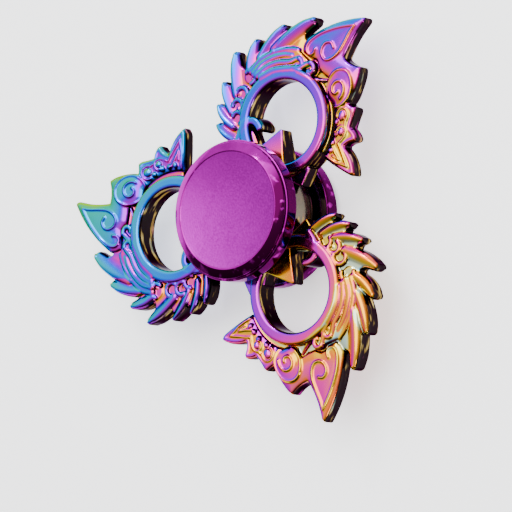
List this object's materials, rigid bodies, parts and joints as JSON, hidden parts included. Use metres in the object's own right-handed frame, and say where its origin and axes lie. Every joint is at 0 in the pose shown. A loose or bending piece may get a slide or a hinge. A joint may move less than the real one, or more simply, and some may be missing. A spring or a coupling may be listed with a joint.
{
  "type": "fidget spinner",
  "caption": "Winged metal hand spinner: a cast rotor with ring openings and leaf-like relief turns on a small ball bearing between dished finger caps.",
  "frame": {"origin": "on the spin axis at the middle of the bearing's width, half way between the two caps", "axes": "+Z along the spin axis towards the front cap, +Y through the middle of the first wing's ring opening"},
  "size_m": [0.0608, 0.0577, 0.0146],
  "materials": {
    "rainbow_zinc": "polished rainbow plating over die-cast zinc",
    "purple_aluminium": "satin magenta anodising with a polished rim",
    "bearing_steel": "ground",
    "ball_steel": "polished",
    "cage_brass": "satin",
    "screw_steel": "blackened"
  },
  "bodies": {
    "core": {"front_cap": "purple_aluminium", "rear_cap": "purple_aluminium", "centre_stud": "screw_steel", "front_washer": "screw_steel", "rear_washer": "screw_steel", "bearing_inner_ring": "bearing_steel"},
    "rotor": {"rotor_body": "rainbow_zinc", "bearing_lock_ring": "bearing_steel", "bearing_outer_ring": "bearing_steel"},
    "cage": {"ball_cage": "cage_brass"},
    "ball_01_body": {"ball_01": "ball_steel"},
    "ball_02_body": {"ball_02": "ball_steel"},
    "ball_03_body": {"ball_03": "ball_steel"},
    "ball_04_body": {"ball_04": "ball_steel"},
    "ball_05_body": {"ball_05": "ball_steel"},
    "ball_06_body": {"ball_06": "ball_steel"},
    "ball_07_body": {"ball_07": "ball_steel"},
    "ball_08_body": {"ball_08": "ball_steel"},
    "ball_09_body": {"ball_09": "ball_steel"},
    "ball_10_body": {"ball_10": "ball_steel"}
  },
  "joints": [
    {"name": "rotor_spin", "type": "hinge", "parent": "core", "child": "rotor", "pos_m": [0, 0, 0], "axis": [0, 0, 1], "continuous": true},
    {"name": "cage_spin", "type": "hinge", "parent": "core", "child": "cage", "pos_m": [0, 0, 0], "axis": [0, 0, 1], "continuous": true},
    {"name": "ball_01_roll", "type": "hinge", "parent": "cage", "child": "ball_01_body", "pos_m": [0.00476, 0, 0], "axis": [0, 0, 1], "continuous": true},
    {"name": "ball_02_roll", "type": "hinge", "parent": "cage", "child": "ball_02_body", "pos_m": [0.00385, 0.0028, 0], "axis": [0, 0, 1], "continuous": true},
    {"name": "ball_03_roll", "type": "hinge", "parent": "cage", "child": "ball_03_body", "pos_m": [0.00147, 0.00453, 0], "axis": [0, 0, 1], "continuous": true},
    {"name": "ball_04_roll", "type": "hinge", "parent": "cage", "child": "ball_04_body", "pos_m": [-0.00147, 0.00453, 0], "axis": [0, 0, 1], "continuous": true},
    {"name": "ball_05_roll", "type": "hinge", "parent": "cage", "child": "ball_05_body", "pos_m": [-0.00385, 0.0028, 0], "axis": [0, 0, 1], "continuous": true},
    {"name": "ball_06_roll", "type": "hinge", "parent": "cage", "child": "ball_06_body", "pos_m": [-0.00476, 0, 0], "axis": [0, 0, 1], "continuous": true},
    {"name": "ball_07_roll", "type": "hinge", "parent": "cage", "child": "ball_07_body", "pos_m": [-0.00385, -0.0028, 0], "axis": [0, 0, 1], "continuous": true},
    {"name": "ball_08_roll", "type": "hinge", "parent": "cage", "child": "ball_08_body", "pos_m": [-0.00147, -0.00453, 0], "axis": [0, 0, 1], "continuous": true},
    {"name": "ball_09_roll", "type": "hinge", "parent": "cage", "child": "ball_09_body", "pos_m": [0.00147, -0.00453, 0], "axis": [0, 0, 1], "continuous": true},
    {"name": "ball_10_roll", "type": "hinge", "parent": "cage", "child": "ball_10_body", "pos_m": [0.00385, -0.0028, 0], "axis": [0, 0, 1], "continuous": true}
  ],
  "couplings": [
    {"joint": "cage_spin", "follows": "rotor_spin", "ratio": 0.605},
    {"joint": "ball_01_roll", "follows": "rotor_spin", "ratio": 2.2763},
    {"joint": "ball_02_roll", "follows": "rotor_spin", "ratio": 2.2763},
    {"joint": "ball_03_roll", "follows": "rotor_spin", "ratio": 2.2763},
    {"joint": "ball_04_roll", "follows": "rotor_spin", "ratio": 2.2763},
    {"joint": "ball_05_roll", "follows": "rotor_spin", "ratio": 2.2763},
    {"joint": "ball_06_roll", "follows": "rotor_spin", "ratio": 2.2763},
    {"joint": "ball_07_roll", "follows": "rotor_spin", "ratio": 2.2763},
    {"joint": "ball_08_roll", "follows": "rotor_spin", "ratio": 2.2763},
    {"joint": "ball_09_roll", "follows": "rotor_spin", "ratio": 2.2763},
    {"joint": "ball_10_roll", "follows": "rotor_spin", "ratio": 2.2763}
  ]
}
